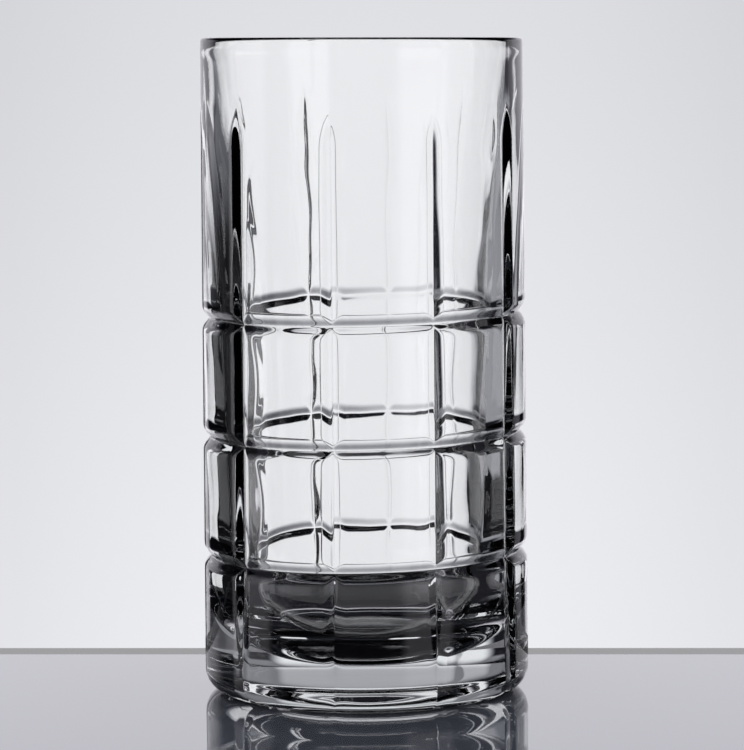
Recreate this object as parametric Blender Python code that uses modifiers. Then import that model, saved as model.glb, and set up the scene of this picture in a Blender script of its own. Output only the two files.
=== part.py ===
"""Pressed clear-glass iced tea tumbler, one solid piece of glass.

The body is a turned profile: a tapered cavity with a bowl-shaped floor, a flat fire-polished rim
with rounded edges, an outside with three V-shaped ring grooves, and a heel rounded onto a flat foot
ring around a shallow hollow.  Ten upright V-shaped flutes with pointed tops are then cut into the
outside.

Units are metres, +Z is up, and the origin is the centre of the foot.  The front is -Y.
"""
import math

import bmesh
import bpy
from mathutils import Matrix, Vector

# Overall sizes
HEIGHT = 0.152
RIM_DIAMETER = 0.0746
BASE_DIAMETER = 0.0760

# Cavity: glass left at the rim, at the height where the flare starts, and above the floor curve
RIM_WALL = 0.0024
RIM_ROUND = 0.0007
WAIST_WALL = 0.0089
HEEL_WALL = 0.0110
FLARE_HEIGHT = 0.080
FLOOR_THICKNESS = 0.0086
FLOOR_CURVE = 0.018

# Heel and foot, with a hollow that is steep at its edge and flat in the middle
HEEL_ROUND = 0.005
FOOT_RING_WIDTH = 0.004
HOLLOW_DEPTH = 0.004
HOLLOW_STEEPNESS = 12

# Ring grooves around the outside, counted up from the lowest
RING_COUNT = 3
LOWEST_RING_HEIGHT = 0.0324
RING_PITCH = 0.02775
RING_WIDTH = 0.0048
RING_DEPTH = 0.0015

# Upright flutes, with the first one measured from the front towards +X
FLUTE_COUNT = 10
FLUTE_WIDTH = 0.0046
FLUTE_DEPTH = 0.00125
FLUTE_PHASE = math.radians(-11.0)
PLAIN_BAND = 0.0154
POINT_LENGTH = 0.009

# Fineness of the facets
FACETS_PER_FLUTE = 7
FLOOR_STEPS = 6
FLARE_STEPS = 6
RIM_STEPS = 3
HEEL_STEPS = 6
HOLLOW_STEPS = 8
POINT_STEPS = 4

# The steps across the hollow crowd towards its steep edge by this power
HOLLOW_CROWDING = 1.6

# The flute cutter reaches past the glass by this much
CUT_MARGIN = 0.002
MERGE_DISTANCE = 0.00001

COLLECTION_NAME = "iced_tea_glass"
CUTTER_COLLECTION_NAME = "cutters"
BODY_NAME = "tumbler"


def clear_scene():
    """Remove the objects that the scene starts with."""
    for obj in list(bpy.data.objects):
        bpy.data.objects.remove(obj)


def new_collection(name):
    """Link a new collection into the scene."""
    collection = bpy.data.collections.new(name)
    bpy.context.scene.collection.children.link(collection)
    return collection


def clear_glass():
    """Colourless soda-lime glass."""
    material = bpy.data.materials.new("clear_glass")
    material.use_nodes = True
    shader = material.node_tree.nodes["Principled BSDF"]
    shader.inputs["Base Color"].default_value = (0.96, 0.97, 0.98, 1.0)
    shader.inputs["Metallic"].default_value = 0.0
    shader.inputs["Roughness"].default_value = 0.02
    shader.inputs["IOR"].default_value = 1.52
    shader.inputs["Transmission Weight"].default_value = 1.0
    return material


def outer_radius(height):
    """Radius of the uncut outside, which widens a little from the rim to the base."""
    base = BASE_DIAMETER / 2
    rim = RIM_DIAMETER / 2
    return base + (rim - base) * height / HEIGHT


def mouth_height():
    """Height where the rounding of the rim starts."""
    return HEIGHT - RIM_ROUND


def cavity_radius(height):
    """Radius of the cavity: a straight draft, with a flare added above the waist."""
    heel_height = FLOOR_THICKNESS + FLOOR_CURVE
    heel = BASE_DIAMETER / 2 - HEEL_WALL
    waist = outer_radius(FLARE_HEIGHT) - WAIST_WALL
    draft = (waist - heel) / (FLARE_HEIGHT - heel_height)
    straight = heel + draft * (height - heel_height)
    if height <= FLARE_HEIGHT:
        return straight
    mouth = outer_radius(mouth_height()) - RIM_WALL
    straight_mouth = heel + draft * (mouth_height() - heel_height)
    share = (height - FLARE_HEIGHT) / (mouth_height() - FLARE_HEIGHT)
    return straight + (mouth - straight_mouth) * share ** 2


def arc(centre_radius, centre_height, size, start, end, steps):
    """Points (radius, height) along an arc, both ends included."""
    points = []
    for step in range(steps + 1):
        angle = start + (end - start) * step / steps
        points.append((centre_radius + size * math.cos(angle), centre_height + size * math.sin(angle)))
    return points


def cavity_points():
    """Inside, from the middle of the floor up to the rim."""
    heel_height = FLOOR_THICKNESS + FLOOR_CURVE
    curve_centre = cavity_radius(heel_height) - FLOOR_CURVE
    points = [(0.0, FLOOR_THICKNESS)]
    points += arc(curve_centre, heel_height, FLOOR_CURVE, -math.pi / 2, 0.0, FLOOR_STEPS)
    for step in range(FLARE_STEPS):
        height = FLARE_HEIGHT + (mouth_height() - FLARE_HEIGHT) * step / FLARE_STEPS
        points.append((cavity_radius(height), height))
    return points


def rim_points():
    """Flat lip with rounded edges, from the inside to the outside."""
    outer = outer_radius(mouth_height())
    inner = outer - RIM_WALL
    inner_edge = arc(inner + RIM_ROUND, mouth_height(), RIM_ROUND, math.pi, math.pi / 2, RIM_STEPS)
    outer_edge = arc(outer - RIM_ROUND, mouth_height(), RIM_ROUND, math.pi / 2, 0.0, RIM_STEPS)
    return inner_edge + outer_edge


def side_points():
    """Outside below the rim, down through the ring grooves."""
    points = []
    for ring in reversed(range(RING_COUNT)):
        middle = LOWEST_RING_HEIGHT + RING_PITCH * ring
        for height, cut in (
            (middle + RING_WIDTH / 2, 0.0),
            (middle, RING_DEPTH),
            (middle - RING_WIDTH / 2, 0.0),
        ):
            points.append((outer_radius(height) - cut, height))
    return points


def foot_points():
    """Rounded heel, flat foot ring and the shallow hollow, ending on the axis."""
    heel_centre = outer_radius(HEEL_ROUND) - HEEL_ROUND
    points = arc(heel_centre, HEEL_ROUND, HEEL_ROUND, 0.0, -math.pi / 2, HEEL_STEPS)
    hollow_radius = heel_centre - FOOT_RING_WIDTH
    for step in range(HOLLOW_STEPS + 1):
        share = (step / HOLLOW_STEPS) ** HOLLOW_CROWDING
        height = HOLLOW_DEPTH * (1 - (1 - share) ** HOLLOW_STEEPNESS)
        points.append((hollow_radius * (1 - share), height))
    return points


def turned_body(collection):
    """The tumbler before its flutes are cut, turned from its profile."""
    profile = cavity_points() + rim_points() + side_points() + foot_points()
    vertices = [(radius, 0.0, height) for radius, height in profile]
    edges = [(index, index + 1) for index in range(len(vertices) - 1)]
    mesh = bpy.data.meshes.new(BODY_NAME)
    mesh.from_pydata(vertices, edges, [])
    body = bpy.data.objects.new(BODY_NAME, mesh)
    collection.objects.link(body)
    turn_steps = FACETS_PER_FLUTE * FLUTE_COUNT
    # Half a facet of turn puts the bottom of each flute at the middle of a facet
    body.rotation_euler.z = flute_turn(0) + math.pi / turn_steps
    screw = body.modifiers.new("turn", "SCREW")
    screw.steps = turn_steps
    screw.render_steps = turn_steps
    screw.use_merge_vertices = True
    screw.merge_threshold = MERGE_DISTANCE
    screw.use_smooth_shade = True
    return body


def flute_turn(index):
    """Turn about Z that carries the +X direction to a flute."""
    return FLUTE_PHASE - math.pi / 2 + 2 * math.pi * index / FLUTE_COUNT


def flute_path():
    """Points (radius, height) that the cutting edge follows, from under the foot to past the point."""
    tip = HEIGHT - PLAIN_BAND
    shoulder = tip - POINT_LENGTH
    path = [(outer_radius(-CUT_MARGIN) - FLUTE_DEPTH, -CUT_MARGIN)]
    for step in range(POINT_STEPS + 1):
        share = step / POINT_STEPS
        height = shoulder + POINT_LENGTH * share
        path.append((outer_radius(height) - FLUTE_DEPTH * (1 - share ** 2), height))
    path.append((outer_radius(tip) + CUT_MARGIN, tip + CUT_MARGIN))
    return path


def flute_cutter_mesh():
    """Bar with a diamond section, cutting edge inwards, whose top leans out of the glass."""
    path = flute_path()
    reach = FLUTE_DEPTH + CUT_MARGIN
    half_width = reach * (FLUTE_WIDTH / 2) / FLUTE_DEPTH
    mesh = bpy.data.meshes.new("flute_cutter")
    edit = bmesh.new()
    first_length = path[1][1] - path[0][1]
    bmesh.ops.create_cone(
        edit, cap_ends=True, segments=4, radius1=1.0, radius2=1.0, depth=first_length,
        matrix=Matrix.Translation((0.0, 0.0, path[0][1] + first_length / 2)),
    )
    bmesh.ops.scale(edit, vec=Vector((reach, half_width, 1.0)), verts=edit.verts)
    bmesh.ops.translate(edit, vec=Vector((path[0][0] + reach, 0.0, 0.0)), verts=edit.verts)
    top = max(edit.faces, key=lambda face: face.calc_center_median().z)
    bmesh.ops.translate(edit, vec=Vector((path[1][0] - path[0][0], 0.0, 0.0)), verts=top.verts)
    for (radius, height), (next_radius, next_height) in zip(path[1:], path[2:]):
        grown = bmesh.ops.extrude_face_region(edit, geom=[top])["geom"]
        verts = [item for item in grown if isinstance(item, bmesh.types.BMVert)]
        step = Vector((next_radius - radius, 0.0, next_height - height))
        bmesh.ops.translate(edit, vec=step, verts=verts)
        edit.faces.remove(top)
        top = next(item for item in grown if isinstance(item, bmesh.types.BMFace))
    bmesh.ops.recalc_face_normals(edit, faces=edit.faces)
    edit.to_mesh(mesh)
    edit.free()
    return mesh


def flute_cutters(collection):
    """One cutter for each flute, evenly spaced around the glass."""
    mesh = flute_cutter_mesh()
    for index in range(FLUTE_COUNT):
        cutter = bpy.data.objects.new(f"flute_cutter_{index + 1}", mesh)
        cutter.rotation_euler.z = flute_turn(index)
        cutter.hide_render = True
        cutter.display_type = "WIRE"
        collection.objects.link(cutter)


def main():
    """Build the tumbler."""
    clear_scene()
    parts = new_collection(COLLECTION_NAME)
    cutters = new_collection(CUTTER_COLLECTION_NAME)
    body = turned_body(parts)
    body.data.materials.append(clear_glass())
    flute_cutters(cutters)
    cut = body.modifiers.new("flutes", "BOOLEAN")
    cut.operation = "DIFFERENCE"
    cut.solver = "EXACT"
    cut.operand_type = "COLLECTION"
    cut.collection = cutters


main()
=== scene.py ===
"""Clear pressed-glass iced tea tumbler: its fine surface, its finish and a bright-field studio.

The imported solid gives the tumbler's place and overall size.  The tumbler is modelled here again as one
turned body with a pressed pattern of softened flutes and ring grooves, and stands for the solid.
Units are metres, +Z is up, the front is -Y, and angles about the axis run from the front towards +X.
"""
import logging
import math
from dataclasses import dataclass, field
from enum import Enum
from typing import Union

import bpy
import numpy as np
from mathutils import Matrix, Vector


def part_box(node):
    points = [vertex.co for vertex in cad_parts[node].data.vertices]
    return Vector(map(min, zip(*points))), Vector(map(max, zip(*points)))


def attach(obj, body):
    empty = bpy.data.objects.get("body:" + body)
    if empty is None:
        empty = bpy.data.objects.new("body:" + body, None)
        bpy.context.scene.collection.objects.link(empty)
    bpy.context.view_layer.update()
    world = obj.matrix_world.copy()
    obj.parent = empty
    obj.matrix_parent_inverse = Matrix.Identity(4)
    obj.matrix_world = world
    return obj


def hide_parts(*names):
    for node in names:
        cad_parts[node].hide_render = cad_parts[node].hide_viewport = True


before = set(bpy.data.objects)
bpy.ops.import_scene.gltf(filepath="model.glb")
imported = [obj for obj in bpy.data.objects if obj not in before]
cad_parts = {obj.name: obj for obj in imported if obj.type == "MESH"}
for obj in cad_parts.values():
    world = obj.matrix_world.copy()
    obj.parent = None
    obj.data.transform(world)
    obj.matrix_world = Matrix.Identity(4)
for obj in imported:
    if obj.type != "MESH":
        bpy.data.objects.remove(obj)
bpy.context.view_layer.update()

LOG = logging.getLogger("iced_tea_glass")
MM = 0.001
NODE = "tumbler"
BODY = "root"

# Distance of a mesh row beside a rounded edge, which keeps the plain surface smooth up to it
HOLD_ROW = 0.12 * MM

# Places of the factor and of the two ends among the inputs of a Mix node
NUMBER_INPUTS = (0, 2, 3)
COLOUR_INPUTS = (0, 6, 7)
COLOUR_OUTPUT = 2

Pair = tuple[float, float]
Points = list[Pair]
Colour = tuple[float, float, float]
Spots = tuple[tuple[float, float, float], ...]
Socket = bpy.types.NodeSocket
Feed = Union[float, Socket]
Tone = Union[Colour, Socket]


class Ray(Enum):
    """Kinds of ray that the backdrop tells apart, by their Light Path output."""

    CAMERA = "Is Camera Ray"
    GLOSSY = "Is Glossy Ray"
    TRANSMISSION = "Is Transmission Ray"


class NodeSketch:
    """Short calls that add and link the nodes of one shader tree."""

    def __init__(self, tree: bpy.types.NodeTree) -> None:
        """Keep the tree that the nodes go into."""
        self.tree = tree

    def add(self, kind: str) -> bpy.types.Node:
        """Add a node of a kind, such as ShaderNodeMath."""
        return self.tree.nodes.new(kind)

    def link(self, source: Socket, target: Socket) -> None:
        """Link an output to an input."""
        self.tree.links.new(source, target)

    def feed(self, target: Socket, value: Feed) -> None:
        """Link a socket into an input, or set a plain number on it.

        Args:
            target: The input.
            value: A number or an output socket.
        """
        if isinstance(value, Socket):
            self.link(value, target)
        else:
            target.default_value = value

    def math(self, operation: str, *values: Feed) -> Socket:
        """Add a Math node.

        Args:
            operation: Its operation, such as ADD.
            values: Numbers or sockets for its inputs, in order.

        Returns:
            Its output.
        """
        node = self.add("ShaderNodeMath")
        node.operation = operation
        for target, value in zip(node.inputs, values):
            self.feed(target, value)
        return node.outputs["Value"]

    def fade(
        self, value: Feed, start: float, end: float, low: float = 0.0, high: float = 1.0
    ) -> Socket:
        """Add a smooth step.

        Args:
            value: What is measured.
            start: Value at which the step starts.
            end: Value at which the step ends.
            low: Result at the start.
            high: Result at the end.

        Returns:
            The step's result.
        """
        node = self.add("ShaderNodeMapRange")
        node.interpolation_type = "SMOOTHSTEP"
        settings = {"Value": value, "From Min": start, "From Max": end, "To Min": low, "To Max": high}
        for name, setting in settings.items():
            self.feed(node.inputs[name], setting)
        return node.outputs["Result"]

    def blend(self, share: Feed, first: Feed, second: Feed) -> Socket:
        """Add a mix of two numbers.

        Args:
            share: How much of the second is taken, 0 to 1.
            first: Result at 0.
            second: Result at 1.

        Returns:
            The mixed number.
        """
        node = self.add("ShaderNodeMix")
        for place, value in zip(NUMBER_INPUTS, (share, first, second)):
            self.feed(node.inputs[place], value)
        return node.outputs[0]

    def colour(self, share: Feed, first: Tone, second: Tone) -> Socket:
        """Add a mix of two colours.

        Args:
            share: How much of the second is taken, 0 to 1.
            first: Colour at 0, as numbers or a socket.
            second: Colour at 1, as numbers or a socket.

        Returns:
            The mixed colour.
        """
        node = self.add("ShaderNodeMix")
        node.data_type = "RGBA"
        for place, value in zip(COLOUR_INPUTS, (share, first, second)):
            self.feed(node.inputs[place], (*value, 1.0) if isinstance(value, tuple) else value)
        return node.outputs[COLOUR_OUTPUT]


@dataclass(frozen=True)
class PressedGlassFinish:
    """Colourless soda-lime glass, pressed and fire-polished."""

    name: str = "clear_pressed_glass"
    tint: Colour = (1.0, 1.0, 1.0)
    ior: float = 1.52
    polish: float = 0.0
    dull_spots: float = 0.003
    spot_scale: float = 60.0
    spot_fade: Pair = (0.45, 0.8)
    ripple_scale: float = 90.0
    ripple_height: float = 0.00001
    depth_colour: Colour = (0.28, 0.34, 0.36)
    depth_density: float = 4.0

    def material(self) -> bpy.types.Material:
        """Build the material.

        Returns:
            Glass with a faint unevenness in its polish and in its surface.
        """
        material = bpy.data.materials.new(self.name)
        material.use_nodes = True
        sketch = NodeSketch(material.node_tree)
        shader = material.node_tree.nodes["Principled BSDF"]
        shader.inputs["Base Color"].default_value = (*self.tint, 1.0)
        shader.inputs["Metallic"].default_value = 0.0
        shader.inputs["IOR"].default_value = self.ior
        shader.inputs["Transmission Weight"].default_value = 1.0
        place = sketch.add("ShaderNodeTexCoord").outputs["Object"]
        spots = self.noise(sketch, place, self.spot_scale)
        roughness = sketch.fade(spots, *self.spot_fade, self.polish, self.dull_spots)
        sketch.link(roughness, shader.inputs["Roughness"])
        bump = sketch.add("ShaderNodeBump")
        bump.inputs["Strength"].default_value = 1.0
        bump.inputs["Distance"].default_value = self.ripple_height
        sketch.link(self.noise(sketch, place, self.ripple_scale), bump.inputs["Height"])
        sketch.link(bump.outputs["Normal"], shader.inputs["Normal"])
        depth = sketch.add("ShaderNodeVolumeAbsorption")
        depth.inputs["Color"].default_value = (*self.depth_colour, 1.0)
        depth.inputs["Density"].default_value = self.depth_density
        output = material.node_tree.nodes["Material Output"]
        sketch.link(depth.outputs["Volume"], output.inputs["Volume"])
        return material

    def noise(self, sketch: NodeSketch, place: Socket, scale: float) -> Socket:
        """Add a soft noise.

        Args:
            sketch: The material's nodes.
            place: Coordinates that the noise reads.
            scale: Lumps per metre.

        Returns:
            A value about 0.5, lower and higher over the surface.
        """
        node = sketch.add("ShaderNodeTexNoise")
        node.inputs["Scale"].default_value = scale
        node.inputs["Detail"].default_value = 1.0
        sketch.link(place, node.inputs["Vector"])
        return node.outputs["Fac"]


@dataclass
class Section:
    """Turned section of the tumbler, before the pattern is pressed into it."""

    height: float
    base_radius: float
    rim_radius: float = 37.3 * MM
    lip_wall: float = 2.4 * MM
    lip_round: float = 1.0 * MM
    lip_bead: float = 0.1 * MM
    bead_height: float = 149.6 * MM
    bead_reach: float = 1.4 * MM
    bead_span: float = 3.0
    waist_wall: float = 8.9 * MM
    heel_wall: float = 11.0 * MM
    lip_fall: float = 0.55 * MM
    fall_start: float = 120.0 * MM
    fall_middle: float = 0.52
    fall_swing: float = 0.5
    waist_height: float = 80.0 * MM
    floor_height: float = 8.1 * MM
    floor_curve: float = 18.6 * MM
    heel_round: float = 5.0 * MM
    foot_width: float = 4.0 * MM
    hollow_depth: float = 4.0 * MM
    hollow_power: float = 12.0
    hollow_crowding: float = 1.6
    floor_rows: int = 4
    curve_rows: int = 16
    inside_rows: int = 80
    bead_rows: int = 14
    lip_rows: int = 6
    heel_rows: int = 9
    foot_rows: int = 4
    hollow_rows: int = 22

    @property
    def mouth(self) -> float:
        """Height where the rounding of the lip starts."""
        return self.height - self.lip_round

    @property
    def heel_height(self) -> float:
        """Height where the curve of the floor meets the wall."""
        return self.floor_height + self.floor_curve

    def outside(self, height: np.ndarray) -> np.ndarray:
        """Radius of the outside at some heights."""
        return self.base_radius + (self.rim_radius - self.base_radius) * height / self.height

    def inside(self, height: np.ndarray) -> np.ndarray:
        """Radius of the cavity: a straight draft with a flare above the waist.

        Args:
            height: Heights above the foot.

        Returns:
            The radius at each height.
        """
        heel = self.base_radius - self.heel_wall
        waist = self.outside(self.waist_height) - self.waist_wall
        draft = (waist - heel) / (self.waist_height - self.heel_height)
        straight = heel + draft * (height - self.heel_height)
        straight_mouth = heel + draft * (self.mouth - self.heel_height)
        flare = self.outside(self.mouth) - self.lip_wall - straight_mouth
        share = np.clip((height - self.waist_height) / (self.mouth - self.waist_height), 0.0, None)
        bead = self.lip_bead * np.exp(-(((height - self.bead_height) / self.bead_reach) ** 2))
        return straight + flare * share**2 - bead

    def fall(self, turn: np.ndarray, height: np.ndarray) -> np.ndarray:
        """Fall of the top towards +X, which grows from some way below the lip."""
        share = np.clip((height - self.fall_start) / (self.height - self.fall_start), 0.0, 1.0)
        return self.lip_fall * share**2 * (self.fall_middle + self.fall_swing * np.sin(turn))

    def arc(self, centre: Pair, size: float, turn: Pair, rows: int) -> Points:
        """Points along an arc of the section, without its start.

        Args:
            centre: Radius and height of the arc's centre.
            size: Radius of the arc.
            turn: Angles of its start and its end, from outwards towards up.
            rows: Number of points.

        Returns:
            The points, as radius and height.
        """
        angles = np.linspace(*turn, rows + 1)[1:]
        return [(centre[0] + size * math.cos(a), centre[1] + size * math.sin(a)) for a in angles]

    def cavity_points(self) -> Points:
        """Points from the middle of the floor up the inside to the lip."""
        flat = float(self.inside(self.heel_height)) - self.floor_curve
        points = [(radius, self.floor_height) for radius in np.linspace(0.0, flat, self.floor_rows)]
        curve = (flat, self.heel_height)
        points += self.arc(curve, self.floor_curve, (-math.pi / 2, 0.0), self.curve_rows)
        bead_start = self.bead_height - self.bead_span * self.bead_reach
        heights = list(np.linspace(self.heel_height, bead_start, self.inside_rows)[1:])
        heights += list(np.linspace(bead_start, self.mouth - HOLD_ROW, self.bead_rows)[1:])
        heights.append(self.mouth)
        return points + [(float(self.inside(height)), height) for height in heights]

    def lip_points(self) -> Points:
        """Points over the rounded lip, from the inside to the outside."""
        outer = float(self.outside(self.mouth)) - self.lip_round
        inner = float(self.inside(self.mouth)) + self.lip_round
        points = self.arc((inner, self.mouth), self.lip_round, (math.pi, math.pi / 2), self.lip_rows)
        points.append(((inner + outer) / 2, self.height))
        points.append((outer, self.height))
        return points + self.arc((outer, self.mouth), self.lip_round, (math.pi / 2, 0.0), self.lip_rows)

    def foot_points(self) -> Points:
        """Points round the heel, across the foot ring and over the hollow to the axis."""
        heel = float(self.outside(self.heel_round)) - self.heel_round
        centre = (heel, self.heel_round)
        points = self.arc(centre, self.heel_round, (0.0, -math.pi / 2), self.heel_rows)
        ring = heel - self.foot_width
        for radius in np.linspace(heel - HOLD_ROW, ring + HOLD_ROW, self.foot_rows):
            points.append((radius, 0.0))
        points.append((ring, 0.0))
        for share in np.linspace(0.0, 1.0, self.hollow_rows)[1:] ** self.hollow_crowding:
            height = self.hollow_depth * (1 - (1 - share) ** self.hollow_power)
            points.append((ring * (1 - share), height))
        return points


@dataclass
class Pattern:
    """Upright pointed flutes crossed by ring grooves, with softened edges.

    A spot is where the pattern is pressed unevenly: its bearing and spread in degrees, and the share
    that is lost there.
    """

    flute_count: int = 10
    flute_turn: float = math.radians(-11.0)
    flute_width: float = 5.2 * MM
    flute_depth: float = 1.3 * MM
    flute_round: float = 0.2 * MM
    flute_valley: float = 0.15 * MM
    flute_power: float = 2.0
    blunt_spots: Spots = ((61.0, 14.0, 0.4), (-48.0, 14.0, 0.3))
    foot_share: float = 0.25
    foot_fade: Pair = (10.0 * MM, 30.0 * MM)
    tip_height: float = 136.6 * MM
    point_length: float = 9.1 * MM
    ring_count: int = 3
    lowest_ring: float = 32.4 * MM
    ring_pitch: float = 27.75 * MM
    ring_width: float = 3.9 * MM
    ring_depth: float = 1.65 * MM
    ring_round: float = 0.8 * MM
    ring_valley: float = 0.15 * MM
    crossing_power: float = 5.0
    flute_shifts: tuple[float, ...] = (0.0, 0.0, 0.0, 0.0, 0.0, 0.0, 0.0, 4.0, 0.0, -1.5)
    flute_spots: Spots = (
        (138.0, 30.0, 0.6),
        (27.0, 16.0, 0.37),
        (-11.0, 14.0, 0.22),
        (241.0, 12.0, 0.42),
        (205.0, 14.0, -0.1),
    )
    ring_spots: tuple[Spots, ...] = (
        ((160.0, 45.0, 0.35),),
        ((155.0, 40.0, 0.27),),
        ((155.0, 40.0, 0.27),),
    )
    ring_lean: float = math.radians(0.8)
    groove_stops: tuple[float, ...] = (
        0.0, 0.07, 0.16, 0.3, 0.45, 0.6, 0.75, 0.88, 1.0, 1.12, 1.28, 1.5
    )
    panel_columns: int = 5
    point_rows: int = 26
    ring_stops: tuple[float, ...] = (
        0.0, 0.06, 0.15, 0.3, 0.45, 0.6, 0.75, 0.88, 1.0, 1.12, 1.3, 1.6, 2.0
    )
    band_rows: int = 8
    panel_row: float = 2.6 * MM
    least_rows: int = 3
    point_margin: float = 1.0 * MM
    tip_squeeze: float = 0.3
    inside_squeeze: float = 0.6
    valley_share: float = 0.6

    @property
    def half_columns(self) -> int:
        """Columns of the mesh from the middle of a flute to the middle of a panel."""
        return len(self.groove_stops) - 1 + self.panel_columns

    @property
    def steps(self) -> int:
        """Columns of the mesh all round."""
        return 2 * self.half_columns * self.flute_count

    @property
    def rings(self) -> list[float]:
        """Heights of the ring grooves, from the top down."""
        return [self.lowest_ring + self.ring_pitch * ring for ring in reversed(range(self.ring_count))]

    def rows(self, top: float, bottom: float) -> list[float]:
        """Heights of the mesh's rows on the outside, closer where the pattern bends.

        Args:
            top: Height under the lip.
            bottom: Height above the rounding of the heel.

        Returns:
            The heights, from the top down.
        """
        half = self.ring_width / 2
        point_top = self.tip_height + self.point_margin
        point_bottom = self.tip_height - self.point_length - self.point_margin
        heights = list(np.linspace(top - HOLD_ROW, point_top, self.band_rows))
        heights += list(np.linspace(point_top, point_bottom, self.point_rows))[1:]
        last = point_bottom
        for ring in self.rings:
            groove_top = ring + half * self.ring_stops[-1]
            heights += self.even_rows(last, groove_top)
            heights += [ring + half * stop for stop in reversed(self.ring_stops[:-1])]
            heights += [ring - half * stop for stop in self.ring_stops[1:]]
            last = ring - half * self.ring_stops[-1]
        return heights + self.even_rows(last, bottom + HOLD_ROW) + [bottom]

    def even_rows(self, top: float, bottom: float) -> list[float]:
        """Heights of even rows below one height and down to another."""
        count = max(self.least_rows, round((top - bottom) / self.panel_row))
        return list(np.linspace(top, bottom, count + 1))[1:]

    def point_share(self, height: np.ndarray) -> np.ndarray:
        """Share of a flute's full depth and width left at some heights, 1 below its pointed top."""
        rise = np.clip((height - self.tip_height) / self.point_length + 1.0, 0.0, None)
        return 1.0 - rise**2

    def columns(self, place: np.ndarray, squeeze: np.ndarray, radius: float) -> np.ndarray:
        """Distances of columns round the surface from the middle of their flute.

        Args:
            place: Column numbers, counted both ways from the middle of the flute.
            squeeze: How far the columns of the groove close up, 1 where they are fully spread.
            radius: Radius that the distances are measured at.

        Returns:
            The distances, negative towards the left.
        """
        number = np.rint(np.abs(place)).astype(int)
        last = len(self.groove_stops) - 1
        stops = np.array(self.groove_stops) * self.flute_width / 2
        edge = stops[last] * squeeze
        panel_end = math.pi * radius / self.flute_count
        share = np.clip((number - last) / self.panel_columns, 0.0, 1.0)
        distance = stops[np.minimum(number, last)] * squeeze
        return np.sign(place) * np.where(number > last, edge + (panel_end - edge) * share, distance)

    def shift(self, flute: np.ndarray, place: np.ndarray) -> np.ndarray:
        """Turn of each flute from its even place, which dies out across the panels beside it.

        Args:
            flute: Numbers of the flutes.
            place: Column numbers, counted both ways from the middle of the flute.

        Returns:
            The turns, in radians.
        """
        turns = np.radians(self.flute_shifts)[flute.astype(int) % self.flute_count]
        last = len(self.groove_stops) - 1
        return turns * (1.0 - np.clip((np.abs(place) - last) / self.panel_columns, 0.0, 1.0))

    def depth(self, across: np.ndarray, height: np.ndarray, turn: np.ndarray) -> np.ndarray:
        """Depth of the pattern at some points of the outside.

        Args:
            across: Distances round the surface from the nearest flute.
            height: Heights above the foot.
            turn: Angles about the axis.

        Returns:
            How far each point lies inside the plain outside.
        """
        flute_slope = self.flute_depth / (self.flute_width / 2)
        ring_slope = self.ring_depth / (self.ring_width / 2)
        flute = self.flute_depth * self.point_share(height)
        flute = flute - flute_slope * self.softened(across, self.flute_valley)
        share = self.rounded(flute, self.flute_round) / self.flute_depth
        low = np.interp(height, self.foot_fade, (self.foot_share, 1.0))
        power = self.flute_power * self.evenness(turn, self.blunt_spots)
        flute = self.flute_depth * low * share**power * self.evenness(turn, self.flute_spots)
        total = flute**self.crossing_power
        for middle, spots in zip(self.rings, self.ring_spots):
            ring = self.ring_depth - ring_slope * self.softened(height - middle, self.ring_valley)
            ring = self.rounded(ring, self.ring_round) * self.evenness(turn, spots)
            total = total + ring**self.crossing_power
        return total ** (1.0 / self.crossing_power)

    def evenness(self, turn: np.ndarray, spots: Spots) -> np.ndarray:
        """Share of a full value round the glass, less or more at the spots pressed unevenly.

        Args:
            turn: Angles about the axis.
            spots: Bearing, spread and loss of each spot.

        Returns:
            The share at each angle.
        """
        share = np.ones_like(turn)
        for middle, spread, loss in spots:
            off = np.remainder(np.degrees(turn) - middle + 180.0, 360.0) - 180.0
            share = share * (1.0 - loss * np.exp(-((off / spread) ** 2)))
        return share

    def softened(self, distance: np.ndarray, size: float) -> np.ndarray:
        """Distance from the bottom of a groove, with its sharp bottom rounded by a size."""
        return np.sqrt(distance**2 + size**2) - size * self.valley_share

    def rounded(self, depth: np.ndarray, size: float) -> np.ndarray:
        """Depth of a groove without what lies above the surface, with its shoulders rounded.

        Args:
            depth: Depths below the surface, negative above it.
            size: Depth at which the rounding of the shoulders starts.

        Returns:
            The rounded depths, none of them negative.
        """
        share = np.clip(0.5 + 0.5 * depth / size, 0.0, 1.0)
        return depth * share + size * share * (1.0 - share)

    def lean(self, turn: np.ndarray, height: np.ndarray, radius: np.ndarray) -> np.ndarray:
        """Rise of the ring grooves towards +X, which dies out at the foot and at the flutes' points.

        Args:
            turn: Angles about the axis.
            height: Heights above the foot.
            radius: Radii.

        Returns:
            How far each point moves up.
        """
        low, high = self.rings[-1], self.rings[0]
        rise = np.clip(height / low, 0.0, 1.0)
        fall = np.clip((self.tip_height - height) / (self.tip_height - high), 0.0, 1.0)
        return math.tan(self.ring_lean) * radius * np.sin(turn) * np.minimum(rise, fall)


@dataclass
class Ripple:
    """Slow waves that the plunger and the fire polish leave on the inside."""

    height: float = 0.05 * MM
    wave: float = 27.0 * MM
    turns: int = 7
    sway: float = 1.3
    slant: float = 0.8
    start: float = 1.0
    shares: Pair = (0.6, 0.4)
    streak_height: float = 0.012 * MM
    streak_turns: int = 41
    streak_sway: float = 0.9
    streak_waves: float = 0.5
    streak_tie: float = 2.0

    def rise(self, turn: np.ndarray, height: np.ndarray) -> np.ndarray:
        """Change of the inside radius.

        Args:
            turn: Angles about the axis.
            height: Heights above the foot.

        Returns:
            How far each point moves outwards.
        """
        along = 2 * math.pi * height / self.wave
        first = np.sin(self.turns * turn + self.sway * np.sin(along))
        second = np.sin((2 * self.turns + 1) * turn - self.slant * along + self.start)
        swing = self.streak_sway * np.sin(self.streak_waves * along)
        streaks = np.sin(self.streak_turns * turn + swing + self.streak_tie * first)
        waves = self.shares[0] * first + self.shares[1] * second
        return self.height * waves + self.streak_height * streaks


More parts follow.
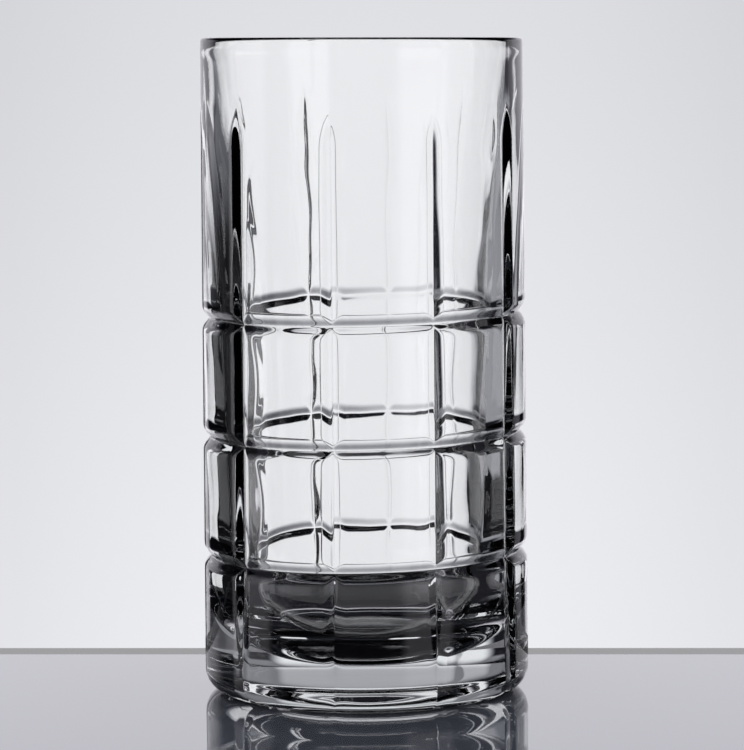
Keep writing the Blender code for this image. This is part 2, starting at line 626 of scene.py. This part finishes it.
@dataclass
class Tumbler:
    """The tumbler: one piece of glass from rim to foot."""

    section: Section
    pattern: Pattern = field(default_factory=Pattern)
    ripple: Ripple = field(default_factory=Ripple)
    finish: PressedGlassFinish = field(default_factory=PressedGlassFinish)
    name: str = "tumbler_glass"
    merge: float = 0.002 * MM

    def build(self) -> bpy.types.Object:
        """Model the tumbler and give it its finish.

        Returns:
            The finished piece, riding on the frame.
        """
        piece = self.turned()
        self.press(piece)
        piece.data.materials.append(self.finish.material())
        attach(piece, BODY)
        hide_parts(NODE)
        LOG.info("%s: %d faces", piece.name, len(piece.data.polygons))
        return piece

    def outline(self) -> Points:
        """Points of the whole section, from the floor over the lip and down to the foot."""
        section = self.section
        heights = self.pattern.rows(section.mouth, section.heel_round)
        points = section.cavity_points() + section.lip_points()
        points += [(float(section.outside(height)), height) for height in heights]
        return points + section.foot_points()

    def turned(self) -> bpy.types.Object:
        """Draw the section in the plane of +X and spin it about the axis.

        Returns:
            The plain turned body, smooth and closed.
        """
        bpy.ops.object.select_all(action="DESELECT")
        bpy.ops.mesh.primitive_plane_add(size=MM)
        piece = bpy.context.object
        piece.name = self.name
        piece.data.name = self.name
        outline = self.outline()
        bpy.ops.object.mode_set(mode="EDIT")
        bpy.ops.mesh.merge(type="CENTER")
        bpy.ops.transform.translate(value=(outline[0][0], 0.0, outline[0][1]))
        for start, end in zip(outline, outline[1:]):
            step = (end[0] - start[0], 0.0, end[1] - start[1])
            bpy.ops.mesh.extrude_region_move(TRANSFORM_OT_translate={"value": step})
        bpy.ops.mesh.select_all(action="SELECT")
        bpy.ops.mesh.spin(steps=self.pattern.steps, angle=2 * math.pi, center=(0, 0, 0), axis=(0, 0, 1))
        bpy.ops.mesh.select_all(action="SELECT")
        bpy.ops.mesh.remove_doubles(threshold=self.merge)
        bpy.ops.mesh.normals_make_consistent(inside=False)
        bpy.ops.object.mode_set(mode="OBJECT")
        bpy.ops.object.shade_smooth()
        return piece

    def press(self, piece: bpy.types.Object) -> None:
        """Press the flutes and ring grooves into the outside, and ripple the inside.

        Args:
            piece: The plain turned body.
        """
        mesh = piece.data
        places = np.empty(len(mesh.vertices) * 3)
        mesh.vertices.foreach_get("co", places)
        x, y, height = places.reshape(-1, 3).T
        radius = np.hypot(x, y)
        section, pattern = self.section, self.pattern
        middle = (section.inside(height) + section.outside(height)) / 2
        outer = (radius > middle) | (height < section.heel_round)
        sectors = np.arctan2(y, x) * pattern.flute_count / (2 * math.pi)
        flute = np.rint(sectors)
        place = (sectors - flute) * 2 * pattern.half_columns
        squeeze = np.maximum(pattern.point_share(height), pattern.tip_squeeze)
        squeeze = np.where(outer, squeeze, pattern.inside_squeeze)
        across = pattern.columns(place, squeeze, section.base_radius)
        turn = pattern.flute_turn + 2 * math.pi * flute / pattern.flute_count
        turn = turn + across / section.base_radius + pattern.shift(flute, place)
        heel = section.base_radius - section.heel_round
        fade = np.clip((radius - heel) / section.heel_round, 0.0, 1.0)
        pressed = np.where(outer, pattern.depth(across, height, turn) * fade, 0.0)
        wall = np.clip((height - section.floor_height) / section.floor_curve, 0.0, 1.0)
        wall *= np.clip((section.mouth - height) / section.floor_curve, 0.0, 1.0)
        wavy = np.where(outer, 0.0, self.ripple.rise(turn, height) * wall)
        raised = np.where(outer, pattern.lean(turn, height, radius), 0.0) - section.fall(turn, height)
        radius = radius - pressed + wavy
        moved = np.column_stack((radius * np.sin(turn), -radius * np.cos(turn), height + raised))
        mesh.vertices.foreach_set("co", moved.ravel())
        mesh.update()


@dataclass(frozen=True)
class FloorFinish:
    """Smooth pale floor with a dull back edge, clear beyond it so that the backdrop shows.  The back
    edge also carries a painted dark line, which a painted glow lightens for the camera.

    The camera sees it pale from above and darker at a low angle, where it mirrors.  The glass, like
    every ray but the camera's, sees a dark copy of it instead: painted shade.
    """

    name: str = "pale_floor"
    colour: Colour = (0.11, 0.12, 0.148)
    pale_colour: Colour = (0.88, 0.88, 0.90)
    # Painted shade: the floor's dark copy, seen by every ray but the camera's
    painted_shade_colour: Colour = (0.021, 0.021, 0.025)
    low_sight: Pair = (0.64, 0.78)
    # Painted shade: the dark line along the back edge
    painted_edge_shade: Colour = (0.069, 0.069, 0.072)
    # Strength of the painted glow on the back edge, seen by the camera only
    painted_edge_glow: float = 0.24
    roughness: float = 0.04
    edge_roughness: float = 0.45
    coat: float = 1.0
    edge: Pair = (0.0390, 0.0402)
    back: Pair = (0.0478, 0.0486)
    edge_slant: float = 0.049
    far_fade: Pair = (0.20, 0.45)

    def material(self) -> bpy.types.Material:
        """Build the material.

        Returns:
            The floor's finish, clear beyond its edges.
        """
        material = bpy.data.materials.new(self.name)
        material.use_nodes = True
        nodes = material.node_tree.nodes
        sketch = NodeSketch(material.node_tree)
        shader = nodes["Principled BSDF"]
        place = sketch.add("ShaderNodeTexCoord").outputs["Object"]
        split = sketch.add("ShaderNodeSeparateXYZ")
        sketch.link(place, split.inputs[0])
        slant = sketch.math("MULTIPLY", split.outputs["X"], self.edge_slant)
        depth = sketch.math("ADD", split.outputs["Y"], slant)
        edge = sketch.fade(depth, *self.edge)
        seen = sketch.add("ShaderNodeLightPath").outputs[Ray.CAMERA.value]
        low = sketch.fade(sketch.add("ShaderNodeLayerWeight").outputs["Facing"], *self.low_sight)
        colour = sketch.colour(low, self.pale_colour, self.colour)
        # Every ray but the camera's gets the painted shade colour
        colour = sketch.colour(seen, self.painted_shade_colour, colour)
        # The back edge takes the painted dark line
        sketch.link(sketch.colour(edge, colour, self.painted_edge_shade), shader.inputs["Base Color"])
        sketch.link(sketch.blend(edge, self.roughness, self.edge_roughness), shader.inputs["Roughness"])
        sketch.link(sketch.blend(edge, self.coat, 0.0), shader.inputs["Coat Weight"])
        # Painted glow: white emission on the back edge for camera rays only, lightening its painted dark
        # line
        painted_glow = sketch.math("MULTIPLY", sketch.math("MULTIPLY", edge, seen), self.painted_edge_glow)
        shader.inputs["Emission Color"].default_value = (1.0, 1.0, 1.0, 1.0)
        sketch.link(painted_glow, shader.inputs["Emission Strength"])
        length = sketch.add("ShaderNodeVectorMath")
        length.operation = "LENGTH"
        sketch.link(place, length.inputs[0])
        back = sketch.fade(depth, *self.back)
        far = sketch.fade(length.outputs["Value"], *self.far_fade)
        clear = sketch.add("ShaderNodeBsdfTransparent")
        mix = sketch.add("ShaderNodeMixShader")
        sketch.link(sketch.math("MAXIMUM", back, far), mix.inputs[0])
        sketch.link(shader.outputs[0], mix.inputs[1])
        sketch.link(clear.outputs[0], mix.inputs[2])
        sketch.link(mix.outputs[0], nodes["Material Output"].inputs["Surface"])
        return material


@dataclass(frozen=True)
class BoardFinish:
    """Dull finish of the board and the flags, which clears between two heights at the top."""

    name: str = "grey_board"
    colour: Colour = (0.083, 0.083, 0.086)
    roughness: float = 0.3
    top: Pair = (1.0, 2.0)

    def material(self) -> bpy.types.Material:
        """Build the material.

        Returns:
            The dull finish.
        """
        material = bpy.data.materials.new(self.name)
        material.use_nodes = True
        sketch = NodeSketch(material.node_tree)
        shader = material.node_tree.nodes["Principled BSDF"]
        shader.inputs["Base Color"].default_value = (*self.colour, 1.0)
        shader.inputs["Roughness"].default_value = self.roughness
        split = sketch.add("ShaderNodeSeparateXYZ")
        sketch.link(sketch.add("ShaderNodeTexCoord").outputs["Object"], split.inputs[0])
        sketch.link(sketch.fade(split.outputs["Z"], *self.top, 1.0, 0.0), shader.inputs["Alpha"])
        return material


@dataclass(frozen=True)
class Flag:
    """Dark card that stands upright near the tumbler, which only the glass picks up.

    Its ends on the floor, its height and the length over which its top clears are in millimetres.
    """

    name: str
    start: Pair
    end: Pair
    height: float
    fade: float
    colour: Colour = (0.012, 0.012, 0.016)
    roughness: float = 0.6

    def build(self) -> bpy.types.Object:
        """Stand the card up between its two ends.

        Returns:
            The card.
        """
        bpy.ops.object.select_all(action="DESELECT")
        bpy.ops.mesh.primitive_plane_add(size=1.0)
        card = bpy.context.object
        card.name = self.name
        start, end = Vector((*self.start, 0.0)) * MM, Vector((*self.end, 0.0)) * MM
        along = end - start
        middle = (start + end) / 2 + Vector((0.0, 0.0, self.height * MM / 2))
        upright = Matrix.Rotation(math.pi / 2, 4, "X")
        turned = Matrix.Rotation(math.atan2(along.y, along.x), 4, "Z")
        size = Matrix.Diagonal((along.length, self.height * MM, 1.0, 1.0))
        card.data.transform(Matrix.Translation(middle) @ turned @ upright @ size)
        top = ((self.height - self.fade) * MM, self.height * MM)
        finish = BoardFinish(self.name, self.colour, self.roughness, top)
        card.data.materials.append(finish.material())
        card.visible_camera = False
        card.visible_diffuse = False
        card.visible_glossy = False
        card.visible_shadow = False
        return card


@dataclass(frozen=True)
class Panel:
    """One soft bright panel of the studio, by its bearing and height in degrees from the tumbler."""

    bearing: float
    half_width: Pair
    bottom: Pair
    top: Pair
    level: float = 1.0

    def light(self, sketch: NodeSketch, bearing: Socket, rise: Socket) -> Socket:
        """Brightness of the panel in each direction.

        Args:
            sketch: The world's nodes.
            bearing: Bearing of the direction, in radians.
            rise: Angle of the direction above the horizon, in radians.

        Returns:
            The panel's level on it, 0 off it, with soft edges.
        """
        off = sketch.math("SUBTRACT", bearing, math.radians(self.bearing))
        off = sketch.math("ABSOLUTE", sketch.math("WRAP", off, math.pi, -math.pi))
        across = sketch.fade(off, *map(math.radians, self.half_width), 1.0, 0.0)
        above = sketch.fade(rise, *map(math.radians, self.bottom))
        below = sketch.fade(rise, *map(math.radians, self.top), 1.0, 0.0)
        upright = sketch.math("MULTIPLY", above, below)
        return sketch.math("MULTIPLY", sketch.math("MULTIPLY", across, self.level), upright)


@dataclass
class Studio:
    """Bright-field studio: pale backdrop, dark surroundings, smooth floor and the camera."""

    floor: FloorFinish = field(default_factory=FloorFinish)
    floor_size: float = 1.0
    floor_gap: float = 0.2 * MM
    board: BoardFinish = field(default_factory=BoardFinish)
    board_drop: float = 2.0 * MM
    board_reach: Pair = (40.0 * MM, 73.6 * MM)
    board_width: float = 0.3
    flags: tuple[Flag, ...] = (
        Flag("flag_near_left", (-38.9, 14.0), (-80.0, 14.0), 122.0, 30.0),
        Flag("flag_far_right", (84.0, 135.0), (152.0, 49.0), 24.0, 4.0),
    )
    panels: tuple[Panel, ...] = (
        Panel(-3.5, (23.75, 30.25), (-34.0, -28.0), (0.0, 22.0)),
        Panel(50.0, (12.0, 17.0), (-24.0, -18.0), (2.0, 10.0), 0.33),
        Panel(-50.0, (13.0, 18.0), (-26.0, -20.0), (-16.0, -10.0), 0.16),
        Panel(0.0, (36.0, 44.0), (0.0, 5.0), (14.0, 26.0), 0.25),
        Panel(-90.0, (14.0, 22.0), (-15.0, -12.0), (22.0, 45.0)),
        Panel(135.0, (14.0, 22.0), (-28.0, -22.0), (22.0, 45.0)),
        Panel(-45.0, (10.0, 18.0), (-42.0, -35.0), (-22.0, -16.0)),
    )
    mirrored: Panel = Panel(0.0, (40.0, 60.0), (-6.0, 0.0), (12.0, 22.0), 0.93)
    dark: float = 0.012
    low_tone: float = 0.88
    high_tone: float = 0.74
    tone_rise: Pair = (-12.0, 4.0)
    side_fall: float = 8.7
    side_least: float = 0.9
    soft_light: float = 0.8
    tint: Colour = (0.985, 0.99, 1.015)
    mirrored_tint: Colour = (0.985, 0.968, 1.035)
    shade_powers: tuple[float, float, float] = (1.02, 1.012, 0.965)
    camera_place: tuple[float, float, float] = (0.0018, -0.775, 0.1523)
    camera_pitch: float = 5.82
    camera_roll: float = 0.52
    focal_pixels: float = 3338.0
    frame_pixels: float = 750.0
    sensor: float = 36.0

    def build(self) -> None:
        """Set up the floor, the light and the camera."""
        self.build_floor()
        self.build_world()
        self.build_camera()
        bpy.context.scene.view_settings.view_transform = "Standard"

    def build_floor(self) -> None:
        """Lay the floor just under the foot, the board under its back edge, and stand the flags up."""
        bpy.ops.object.select_all(action="DESELECT")
        bpy.ops.mesh.primitive_plane_add(size=self.floor_size, location=(0.0, 0.0, -self.floor_gap))
        floor = bpy.context.object
        floor.name = "floor"
        floor.data.materials.append(self.floor.material())
        near, far = self.board_reach
        bpy.ops.mesh.primitive_plane_add(size=1.0)
        board = bpy.context.object
        board.name = "board"
        bpy.ops.object.mode_set(mode="EDIT")
        bpy.ops.transform.resize(value=(self.board_width, far - near, 1.0))
        bpy.ops.transform.translate(value=(0.0, (near + far) / 2, -self.board_drop))
        bpy.ops.object.mode_set(mode="OBJECT")
        board.data.materials.append(self.board.material())
        board.visible_camera = False
        for flag in self.flags:
            flag.build()
        LOG.info("floor, board and %d flags set", len(self.flags))

    def build_world(self) -> None:
        """Build the light: a pale backdrop for the camera, bright panels in the dark for the glass."""
        world = bpy.data.worlds.new("bright_field")
        bpy.context.scene.world = world
        world.use_nodes = True
        sketch = NodeSketch(world.node_tree)
        direction = sketch.add("ShaderNodeSeparateXYZ")
        sketch.link(sketch.add("ShaderNodeTexCoord").outputs["Generated"], direction.inputs[0])
        bearing = sketch.math("ARCTAN2", direction.outputs["X"], direction.outputs["Y"])
        rise = sketch.math("ARCSINE", direction.outputs["Z"])
        tone = sketch.fade(rise, *map(math.radians, self.tone_rise), self.low_tone, self.high_tone)
        fall = sketch.math("MULTIPLY", sketch.math("MULTIPLY", bearing, bearing), self.side_fall)
        side = sketch.math("MAXIMUM", sketch.math("SUBTRACT", 1.0, fall), self.side_least)
        tone = sketch.math("MULTIPLY", tone, side)
        lit = self.dark
        for panel in self.panels:
            lit = sketch.math("MAXIMUM", lit, panel.light(sketch, bearing, rise))
        rays = sketch.add("ShaderNodeLightPath").outputs
        through = sketch.math("MAXIMUM", rays[Ray.GLOSSY.value], rays[Ray.TRANSMISSION.value])
        reflected = sketch.math("SUBTRACT", rays[Ray.GLOSSY.value], rays[Ray.TRANSMISSION.value])
        mirrored = sketch.math("MULTIPLY", reflected, self.mirrored.light(sketch, bearing, rise))
        lit = sketch.math("MAXIMUM", lit, mirrored)
        level = sketch.blend(through, self.soft_light, lit)
        level = sketch.blend(rays[Ray.CAMERA.value], level, tone)
        colour = sketch.add("ShaderNodeCombineColor")
        tints = zip(self.tint, self.mirrored_tint)
        for target, power, pair in zip(colour.inputs, self.shade_powers, tints):
            shade = sketch.math("POWER", level, power)
            sketch.link(sketch.math("MULTIPLY", shade, sketch.blend(reflected, *pair)), target)
        sketch.link(colour.outputs["Color"], world.node_tree.nodes["Background"].inputs["Color"])
        LOG.info("light set with %d panels", len(self.panels))

    def build_camera(self) -> None:
        """Place the camera in front of the tumbler, a little above its rim and looking down."""
        lens = bpy.data.cameras.new("camera")
        lens.sensor_width = self.sensor
        lens.lens = self.focal_pixels / self.frame_pixels * self.sensor
        camera = bpy.data.objects.new("camera", lens)
        bpy.context.scene.collection.objects.link(camera)
        pitch = Matrix.Rotation(math.radians(90.0 - self.camera_pitch), 4, "X")
        roll = Matrix.Rotation(-math.radians(self.camera_roll), 4, "Z")
        camera.matrix_world = Matrix.Translation(self.camera_place) @ pitch @ roll
        bpy.context.scene.camera = camera


def main() -> None:
    """Build the tumbler and its studio."""
    logging.basicConfig(level=logging.INFO)
    low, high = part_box(NODE)
    base_radius = min(high.x - low.x, high.y - low.y) / 2
    Tumbler(Section(height=high.z - low.z, base_radius=base_radius)).build()
    Studio().build()


if __name__ == "__main__":
    main()
